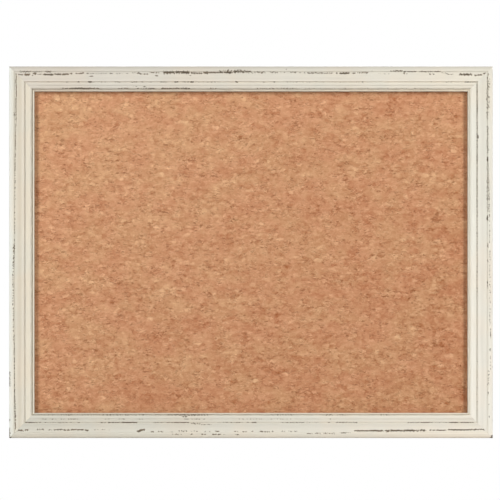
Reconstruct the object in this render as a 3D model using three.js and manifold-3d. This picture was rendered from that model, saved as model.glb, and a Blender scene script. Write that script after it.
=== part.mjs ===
// A framed cork board for a wall: a cork sheet on a soft fibreboard, held in a mitred picture-frame moulding,
// with two D-ring hangers and two rubber bumpers on its back.
// Millimetres. +X is to the right seen from the front, +Z is up, and the front faces -Y.
// The origin is on the wall, behind the middle of the board.

import * as THREE from 'three';
import { mergeVertices } from 'three/addons/utils/BufferGeometryUtils.js';
import Module from 'manifold-3d';

const wasm = await Module();
wasm.setup();

// Panel: a stock 24 by 18 in sheet
const panelWidth = 609.6;
const panelHeight = 457.2;
const corkThickness = 3;
const fibreboardThickness = 6;

// Rabbet: the lip covers the panel's edge, and the panel's back lies inside the moulding
const panelCover = 9.5;
const panelClearance = 1;
const backRecess = 3;

// Moulding section, across its face from the outer edge to the sight edge
const faceWidth = 34;
const bandWidth = 7;
const quirkWidth = 0.7;
const stepWidth = 1.2;
const filletWidth = 4;
const filletStepWidth = 0.5;
const beadWidth = 4.7;
const grooveWidth = 1.3;
const lipWidth = 1.9;

// Moulding section, in depth: each drop is measured back from the outer band, the frontmost part
const lipThickness = 5.5;
const lipDrop = 4.5;
const quirkDrop = 1.9;
const coveEdgeDrop = 1.1;
const coveDrop = 3.4;
const ridgeDrop = 1.3;
const stepDrop = 4;
const filletDrop = 3.4;
const beadStartDrop = 3.8;
const beadDrop = 3.5;
const beadEndDrop = 5.2;
const grooveDrop = 6;
const edgeRound = 3.2;
const bandRound = 0.9;
const ridgeRound = 0.7;
const lipRound = 0.6;
const beadCrestShare = 0.42;

// V nails: pressed in from the back across each mitre
const nailLeg = 6;
const nailThickness = 0.6;
const nailHeight = 10;
const nailSink = 0.3;
const nailPlaceShares = [0.34, 0.7];

// Framer's points: steel tabs pushed into the rabbet's wall over the back of the panel
const pointLength = 16;
const pointWidth = 6;
const pointThickness = 0.4;
const pointBite = 6;
const pointTip = 2.5;
const pointGap = 0.1;
const pointsOnRail = 4;
const pointsOnStile = 3;

// D-ring: a wire ring whose straight bar turns in the strap's loop
const wireRadius = 1.2;
const barHalf = 6.5;
const ringCorner = 2.5;
const ringSide = 1.5;
const ringRestGap = 0.15;

// Strap hanger: a strip folded over the bar, both layers flat under one screw
const strapWidth = 10;
const strapLength = 26;
const stripThickness = 0.8;
const barClearance = 0.25;
const loopTailAngle = -50 * Math.PI / 180;
const hangerDrop = 92;

// Hanger screw: pan head, cross recess
const screwDrop = 20;
const shankRadius = 1.75;
const shankLength = 12;
const shankTip = 3;
const headRadius = 3.5;
const headRim = 0.9;
const headHeight = 2.3;
const recessLength = 3.6;
const recessWidth = 0.9;
const recessDepth = 1.3;

// Bumpers
const bumperRadius = 6.35;
const bumperHeight = 5.5;
const bumperRound = 1.4;
const bumperTaper = 0.5;
const bumperDrop = 34;

// Clearances and the overrun of every cut
const slotClearance = 0.12;
const holeClearance = 0.1;
const strapHoleClearance = 0.35;
const overrun = 1;

// Facets
const profileSegments = 6;
const roundSegments = 24;
const ringSegments = 64;
const wireSegments = 10;

// Sizes that follow
const rabbetWidth = panelCover + panelClearance;
const rabbetDepth = corkThickness + fibreboardThickness + backRecess;
const mouldingDepth = rabbetDepth + lipThickness + lipDrop;
const backWidth = faceWidth - rabbetWidth;
const sightWidth = panelWidth - 2 * panelCover;
const sightHeight = panelHeight - 2 * panelCover;
const boardWidth = sightWidth + 2 * faceWidth;
const boardHeight = sightHeight + 2 * faceWidth;
const frameBack = -bumperHeight;
const loopBore = wireRadius + barClearance;
const loopOuter = loopBore + stripThickness;
const strapThickness = 2 * stripThickness;
const ringHalf = barHalf + ringCorner;
const ringHeight = ringCorner + ringSide + ringHalf;
const ringLean = Math.asin((loopOuter - wireRadius - ringRestGap) / ringHeight);
const hangerX = boardWidth / 2 - backWidth / 2;
const hangerZ = boardHeight / 2 - hangerDrop;
const bumperZ = bumperDrop - boardHeight / 2;

const paint = new THREE.MeshStandardMaterial({ color: 0xe2ddcf, roughness: 0.6, metalness: 0 });
const cork = new THREE.MeshStandardMaterial({ color: 0xc8926a, roughness: 0.9, metalness: 0 });
const fibreboard = new THREE.MeshStandardMaterial({ color: 0x9a7650, roughness: 0.9, metalness: 0 });
const zinc = new THREE.MeshStandardMaterial({ color: 0xb8bcc0, roughness: 0.35, metalness: 1 });
const rubber = new THREE.MeshStandardMaterial({ color: 0x2b2b2d, roughness: 0.8, metalness: 0 });

function toSolid(geometry) {
  const bare = geometry.clone();
  bare.deleteAttribute('normal');
  bare.deleteAttribute('uv');
  const merged = mergeVertices(bare);
  const vertProperties = new Float32Array(merged.attributes.position.array);
  const triVerts = new Uint32Array(merged.index.array);
  return new wasm.Manifold(new wasm.Mesh({ numProp: 3, vertProperties, triVerts }));
}

function toGeometry(solid) {
  const mesh = solid.getMesh();
  const geometry = new THREE.BufferGeometry();
  geometry.setAttribute('position', new THREE.BufferAttribute(mesh.vertProperties, 3));
  geometry.setIndex(new THREE.BufferAttribute(mesh.triVerts, 1));
  const faceted = geometry.toNonIndexed();
  faceted.computeVertexNormals();
  return faceted;
}

function cutAway(geometry, cutters) {
  let solid = toSolid(geometry);
  for (const cutter of cutters) {
    solid = solid.subtract(toSolid(cutter));
  }
  return toGeometry(solid);
}

function named(name, geometry, material) {
  const mesh = new THREE.Mesh(geometry, material);
  mesh.name = name;
  return mesh;
}

// The section: x runs from the outer edge to the sight edge, and y from the back to the front.
function mouldingSection() {
  const front = mouldingDepth;
  const round = Math.min(edgeRound, bandWidth - bandRound);
  const coveStart = bandWidth + quirkWidth;
  const lipStart = faceWidth - lipWidth;
  const grooveStart = lipStart - grooveWidth;
  const beadStart = grooveStart - beadWidth;
  const filletEnd = beadStart - filletStepWidth;
  const filletStart = filletEnd - filletWidth;
  const ridgeEdge = filletStart - stepWidth;
  const ridgeTop = ridgeEdge - ridgeRound;
  const beadCrest = beadStart + beadWidth * beadCrestShare;
  const section = new THREE.Shape();
  section.moveTo(0, 0);
  section.lineTo(0, front - round);
  section.absarc(round, front - round, round, Math.PI, Math.PI / 2, true);
  section.lineTo(bandWidth - bandRound, front);
  section.absarc(bandWidth - bandRound, front - bandRound, bandRound, Math.PI / 2, 0, true);
  section.lineTo(bandWidth, front - quirkDrop);
  section.lineTo(coveStart, front - quirkDrop);
  section.lineTo(coveStart, front - coveEdgeDrop);
  section.quadraticCurveTo((coveStart + ridgeTop) / 2, front - coveDrop, ridgeTop, front - ridgeDrop);
  section.absarc(ridgeTop, front - ridgeDrop - ridgeRound, ridgeRound, Math.PI / 2, 0, true);
  section.lineTo(filletStart, front - stepDrop);
  section.lineTo(filletStart, front - filletDrop);
  section.lineTo(filletEnd, front - filletDrop);
  section.lineTo(beadStart, front - beadStartDrop);
  section.quadraticCurveTo(beadStart, front - beadDrop, beadCrest, front - beadDrop);
  section.quadraticCurveTo(grooveStart, front - beadDrop, grooveStart, front - beadEndDrop);
  section.lineTo(grooveStart, front - grooveDrop);
  section.lineTo(lipStart, front - grooveDrop);
  section.lineTo(lipStart, front - lipDrop - lipRound);
  section.absarc(lipStart + lipRound, front - lipDrop - lipRound, lipRound, Math.PI, Math.PI / 2, true);
  section.absarc(faceWidth - lipRound, front - lipDrop - lipRound, lipRound, Math.PI / 2, 0, true);
  section.lineTo(faceWidth, rabbetDepth);
  section.lineTo(backWidth, rabbetDepth);
  section.lineTo(backWidth, 0);
  return section;
}

// One length of moulding, lying along x below the centre. Each end runs in by its distance from the outer edge,
// which is a 45 degree mitre.
function mouldingLength(halfLength, halfAcross) {
  const settings = { depth: 1, bevelEnabled: false, curveSegments: profileSegments };
  const geometry = new THREE.ExtrudeGeometry(mouldingSection(), settings);
  const position = geometry.attributes.position;
  for (let i = 0; i < position.count; i += 1) {
    const across = position.getX(i);
    const end = position.getZ(i) > 0 ? 1 : -1;
    position.setXYZ(i, end * (halfLength - across), frameBack - position.getY(i), across - halfAcross);
  }
  return geometry;
}

// A V nail seen from behind: two legs from an apex on the mitre, one in each length of moulding.
// The margin widens it into the slot that it sits in.
function nailGeometry(margin) {
  const out = nailThickness / 2 + margin;
  const tip = nailLeg + margin;
  const outline = new THREE.Shape();
  outline.moveTo(-out, -out);
  outline.lineTo(tip, -out);
  outline.lineTo(tip, out);
  outline.lineTo(out, out);
  outline.lineTo(out, tip);
  outline.lineTo(-out, tip);
  const depth = nailHeight + 2 * margin;
  const geometry = new THREE.ExtrudeGeometry(outline, { depth, bevelEnabled: false });
  geometry.rotateX(Math.PI / 2);
  geometry.translate(0, margin, 0);
  return geometry;
}

// Where each nail of a length's two mitres stands, with the turn that points its legs inwards.
function nailPlaces(halfLength, halfAcross) {
  const places = [];
  for (const side of [-1, 1]) {
    for (const share of nailPlaceShares) {
      const inset = share * backWidth;
      const x = side * (halfLength - inset);
      const turn = side > 0 ? -Math.PI / 2 : 0;
      places.push({ x, y: frameBack - nailSink, z: inset - halfAcross, turn });
    }
  }
  return places;
}

function nailSlot(place) {
  const slot = nailGeometry(slotClearance);
  const mouth = nailGeometry(slotClearance);
  slot.rotateY(place.turn);
  mouth.rotateY(place.turn);
  slot.translate(place.x, place.y, place.z);
  mouth.translate(place.x, place.y + nailSink + overrun, place.z);
  return [slot, mouth];
}

// A framer's point: its sharp end is in the wood, and its round end lies over the panel.
function pointGeometry() {
  const half = pointWidth / 2;
  const outline = new THREE.Shape();
  outline.moveTo(-half, pointTip - pointBite);
  outline.lineTo(0, -pointBite);
  outline.lineTo(half, pointTip - pointBite);
  outline.lineTo(half, pointLength - pointBite - half);
  outline.absarc(0, pointLength - pointBite - half, half, 0, Math.PI, false);
  const settings = { depth: pointThickness, bevelEnabled: false, curveSegments: profileSegments };
  const geometry = new THREE.ExtrudeGeometry(outline, settings);
  geometry.rotateX(Math.PI / 2);
  return geometry;
}

function pointSlot(x, z) {
  const width = pointWidth + 2 * slotClearance;
  const height = pointThickness + 2 * pointGap;
  const length = pointBite + slotClearance + overrun;
  const slot = new THREE.BoxGeometry(width, height, length);
  const middle = z - (length / 2 - overrun);
  slot.translate(x, pointBack() - pointThickness / 2, middle);
  return slot;
}

// The back face of every point: one gap and one thickness behind the panel.
function pointBack() {
  return frameBack - backRecess + pointGap + pointThickness;
}

function pointSpots(count, sightLength) {
  const spots = [];
  for (let i = 0; i < count; i += 1) {
    spots.push(sightLength * ((i + 0.5) / count - 0.5));
  }
  return spots;
}

function roundRod(radius, length) {
  const rod = new THREE.CylinderGeometry(radius, radius, length, roundSegments);
  return rod;
}

// One side of the frame with what is fixed in it, turned about Y from the bottom place to its own.
function frameSide(side) {
  const { name, turn, halfLength, halfAcross, sightLength, pointCount, screwX, hasNails } = side;
  const group = new THREE.Group();
  const places = nailPlaces(halfLength, halfAcross);
  const spots = pointSpots(pointCount, sightLength);
  const wallZ = backWidth - halfAcross;
  const cutters = places.flatMap(nailSlot);
  for (const x of spots) {
    cutters.push(pointSlot(x, wallZ));
  }
  if (screwX !== null) {
    const depth = shankLength - strapThickness;
    const hole = roundRod(shankRadius + holeClearance, 2 * (depth + overrun));
    hole.translate(screwX, frameBack, backWidth / 2 - halfAcross);
    cutters.push(hole);
  }
  group.add(named(name, cutAway(mouldingLength(halfLength, halfAcross), cutters), paint));
  if (hasNails) {
    places.forEach((place, i) => {
      const nail = named(`${name}_v_nail_${i + 1}`, nailGeometry(0), zinc);
      nail.position.set(place.x, place.y, place.z);
      nail.rotation.y = place.turn;
      group.add(nail);
    });
  }
  spots.forEach((x, i) => {
    const point = named(`${name}_point_${i + 1}`, pointGeometry(), zinc);
    point.position.set(x, pointBack(), wallZ);
    group.add(point);
  });
  group.rotation.y = turn;
  return group;
}

// The strap seen from the side: x is the distance behind the frame, and y is up from the ring's bar.
function strapSection() {
  const tailX = loopOuter + loopOuter * Math.cos(loopTailAngle);
  const tailY = loopOuter * Math.sin(loopTailAngle);
  const run = (tailX - strapThickness) / Math.sin(-loopTailAngle);
  const bendY = tailY - run * Math.cos(loopTailAngle);
  const section = new THREE.Shape();
  section.moveTo(0, -strapLength);
  section.lineTo(0, 0);
  section.absarc(loopOuter, 0, loopOuter, Math.PI, loopTailAngle, true);
  section.quadraticCurveTo(strapThickness, bendY, strapThickness, bendY + tailY);
  section.lineTo(strapThickness, -strapLength);
  const bore = new THREE.Path();
  bore.absarc(loopOuter, 0, loopBore, 0, 2 * Math.PI, false);
  section.holes.push(bore);
  return section;
}

function strapGeometry() {
  const settings = { depth: strapWidth, bevelEnabled: false, curveSegments: roundSegments / 2 };
  const strip = new THREE.ExtrudeGeometry(strapSection(), settings);
  strip.translate(0, 0, -strapWidth / 2);
  strip.rotateX(Math.PI / 2);
  strip.rotateZ(Math.PI / 2);
  const half = strapWidth / 2;
  const plan = new THREE.Shape();
  plan.moveTo(half, loopOuter + overrun);
  plan.lineTo(-half, loopOuter + overrun);
  plan.lineTo(-half, half - strapLength);
  plan.absarc(0, half - strapLength, half, Math.PI, 2 * Math.PI, false);
  const depth = 2 * (loopOuter + overrun);
  const blank = new THREE.ExtrudeGeometry(plan, { depth, bevelEnabled: false, curveSegments: profileSegments });
  blank.rotateX(Math.PI / 2);
  blank.translate(0, depth - overrun, 0);
  const hole = roundRod(shankRadius + strapHoleClearance, 2 * (strapThickness + overrun));
  hole.translate(0, 0, -screwDrop);
  return toGeometry(toSolid(strip).intersect(toSolid(blank)).subtract(toSolid(hole)));
}

// The ring's centreline in the XZ plane, from the middle of its bar round and back.
class RingCentreline extends THREE.Curve {
  constructor() {
    super();
    const outline = new THREE.Path();
    const sideTop = ringCorner + ringSide;
    outline.moveTo(0, 0);
    outline.lineTo(barHalf, 0);
    outline.absarc(barHalf, ringCorner, ringCorner, -Math.PI / 2, 0, false);
    outline.lineTo(ringHalf, sideTop);
    outline.absarc(0, sideTop, ringHalf, 0, Math.PI, false);
    outline.lineTo(-ringHalf, ringCorner);
    outline.absarc(-barHalf, ringCorner, ringCorner, Math.PI, 3 * Math.PI / 2, false);
    outline.lineTo(0, 0);
    this.outline = outline;
  }

  getPoint(t, target = new THREE.Vector3()) {
    const flat = this.outline.getPoint(t);
    return target.set(flat.x, 0, flat.y);
  }
}

function ringGeometry() {
  return new THREE.TubeGeometry(new RingCentreline(), ringSegments, wireRadius, wireSegments, true);
}

// The screw stands along y with its head behind the strap; y is zero on the back of the frame.
function screwGeometry() {
  const seat = strapThickness;
  const crown = seat + headHeight;
  const outline = new THREE.Path();
  outline.moveTo(0, seat - shankLength);
  outline.lineTo(shankRadius, seat - shankLength + shankTip);
  outline.lineTo(shankRadius, seat);
  outline.lineTo(headRadius, seat);
  outline.lineTo(headRadius, seat + headRim);
  outline.quadraticCurveTo(headRadius, crown, 0, crown);
  const turned = new THREE.LatheGeometry(outline.getPoints(profileSegments), roundSegments);
  const cutters = [];
  for (const turn of [0, Math.PI / 2]) {
    const slot = new THREE.BoxGeometry(recessLength, 2 * recessDepth, recessWidth);
    slot.rotateY(turn);
    slot.translate(0, crown, 0);
    cutters.push(slot);
  }
  return cutAway(turned, cutters);
}

// One hanger: the group stands on the back of the frame at the height of the ring's bar.
function hanger(side, x) {
  const group = new THREE.Group();
  const ring = named(`${side}_d_ring`, ringGeometry(), zinc);
  const screw = named(`${side}_hanger_screw`, screwGeometry(), zinc);
  ring.position.y = loopOuter;
  ring.rotation.x = ringLean;
  screw.position.z = -screwDrop;
  group.add(named(`${side}_hanger_strap`, strapGeometry(), zinc));
  group.add(ring);
  group.add(screw);
  group.position.set(x, frameBack, hangerZ);
  return group;
}

function bumper(side, x) {
  const outline = new THREE.Path();
  const top = bumperRadius - bumperTaper;
  outline.moveTo(0, 0);
  outline.lineTo(bumperRadius, 0);
  outline.lineTo(top, bumperHeight - bumperRound);
  outline.quadraticCurveTo(top, bumperHeight, top - bumperRound, bumperHeight);
  outline.lineTo(0, bumperHeight);
  const geometry = new THREE.LatheGeometry(outline.getPoints(profileSegments), roundSegments);
  const mesh = named(`${side}_bumper`, geometry, rubber);
  mesh.position.set(x, frameBack, bumperZ);
  return mesh;
}

function panel() {
  const group = new THREE.Group();
  const front = frameBack - rabbetDepth;
  const sheet = new THREE.BoxGeometry(panelWidth, corkThickness, panelHeight);
  const board = new THREE.BoxGeometry(panelWidth, fibreboardThickness, panelHeight);
  sheet.translate(0, front + corkThickness / 2, 0);
  board.translate(0, front + corkThickness + fibreboardThickness / 2, 0);
  group.add(named('cork_sheet', sheet, cork));
  group.add(named('fibreboard_back', board, fibreboard));
  return group;
}

const screwZ = hangerZ - screwDrop;
const railSizes = {
  halfLength: boardWidth / 2,
  halfAcross: boardHeight / 2,
  sightLength: sightWidth,
  pointCount: pointsOnRail,
  screwX: null,
  hasNails: true,
};
const stileSizes = {
  halfLength: boardHeight / 2,
  halfAcross: boardWidth / 2,
  sightLength: sightHeight,
  pointCount: pointsOnStile,
  hasNails: false,
};

const corkBoard = new THREE.Group();
corkBoard.add(frameSide({ name: 'bottom_rail', turn: 0, ...railSizes }));
corkBoard.add(frameSide({ name: 'top_rail', turn: Math.PI, ...railSizes }));
corkBoard.add(frameSide({ name: 'left_stile', turn: Math.PI / 2, screwX: -screwZ, ...stileSizes }));
corkBoard.add(frameSide({ name: 'right_stile', turn: -Math.PI / 2, screwX: screwZ, ...stileSizes }));
corkBoard.add(panel());
corkBoard.add(hanger('left', -hangerX));
corkBoard.add(hanger('right', hangerX));
corkBoard.add(bumper('left', -hangerX));
corkBoard.add(bumper('right', hangerX));

export default corkBoard;
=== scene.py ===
import bpy
import numpy as np
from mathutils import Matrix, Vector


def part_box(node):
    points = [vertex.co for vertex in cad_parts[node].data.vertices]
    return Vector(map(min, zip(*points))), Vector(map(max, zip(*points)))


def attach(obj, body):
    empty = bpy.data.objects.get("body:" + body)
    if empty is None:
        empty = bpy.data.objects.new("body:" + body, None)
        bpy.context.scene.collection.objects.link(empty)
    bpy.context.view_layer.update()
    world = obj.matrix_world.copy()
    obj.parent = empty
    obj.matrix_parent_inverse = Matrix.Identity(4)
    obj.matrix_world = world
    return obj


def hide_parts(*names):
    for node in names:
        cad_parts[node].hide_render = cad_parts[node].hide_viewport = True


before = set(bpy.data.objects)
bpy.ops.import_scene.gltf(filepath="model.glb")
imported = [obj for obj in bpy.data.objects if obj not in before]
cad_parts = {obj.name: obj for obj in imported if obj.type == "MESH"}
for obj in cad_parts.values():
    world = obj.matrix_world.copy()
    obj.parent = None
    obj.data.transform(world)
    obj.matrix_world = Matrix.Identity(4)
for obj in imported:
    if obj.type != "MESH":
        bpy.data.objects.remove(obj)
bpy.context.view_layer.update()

# The frame is one softwood picture moulding, cut into four mitred lengths, glued and nailed at its corners.
# Its face and outer side are gessoed and brushed off-white, then rubbed through to a dark stain along the
# quirk and edges, with brown glaze left in the hollows. Its back and the rabbet for the panel are bare wood.
mm = 0.001
rail_low, rail_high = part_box("bottom_rail")
half_width = rail_high.x
half_height = -rail_low.z
frame_back = rail_high.y
depth = rail_high.y - rail_low.y
face = rail_high.z - rail_low.z
back_width = 23.5 * mm
rabbet = 12 * mm
band = 7 * mm
edge_round = 3.2 * mm
band_round = 0.9 * mm
quirk_width = 0.7 * mm
quirk_drop = 1.9 * mm
cove_edge_drop = 1.1 * mm
cove_drop = 3.4 * mm
ridge_edge = 20.4 * mm
ridge_round = 0.7 * mm
ridge_drop = 1.3 * mm
ridge_side_drop = 2 * mm
step_width = 1.2 * mm
step_drop = 4 * mm
fillet_width = 4 * mm
fillet_drop = 3.4 * mm
fillet_step = 0.5 * mm
bead_width = 4.7 * mm
bead_crest = 0.42
bead_start_drop = 3.8 * mm
bead_drop = 3.5 * mm
bead_end_drop = 5.2 * mm
groove_width = 1.3 * mm
groove_drop = 6 * mm
lip_drop = 4.5 * mm
lip_round = 0.6 * mm
corner_ease = 0.18 * mm
line_margin = 0.3 * mm
paint_wobble = 0.06 * mm
chip_depth = 0.22 * mm
along_step = 1.0 * mm

quirk_middle = band + quirk_width / 2
fillet_start = ridge_edge + step_width
fillet_end = fillet_start + fillet_width
bead_start = fillet_end + fillet_step
groove_start = bead_start + bead_width
lip_start = groove_start + groove_width
line_places = {
    "edge": 0.8 * mm,
    "quirk": quirk_middle,
    "cove": 14.6 * mm,
    "ridge": 17.8 * mm,
    "ridge_end": ridge_edge + 0.3 * mm,
    "step": ridge_edge + 0.7 * step_width,
    "fillet": fillet_end + 0.5 * fillet_step,
    "bead_end": 29.8 * mm,
    "groove": (groove_start + lip_start) / 2,
    "lip": lip_start + 1.2 * mm,
}

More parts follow.
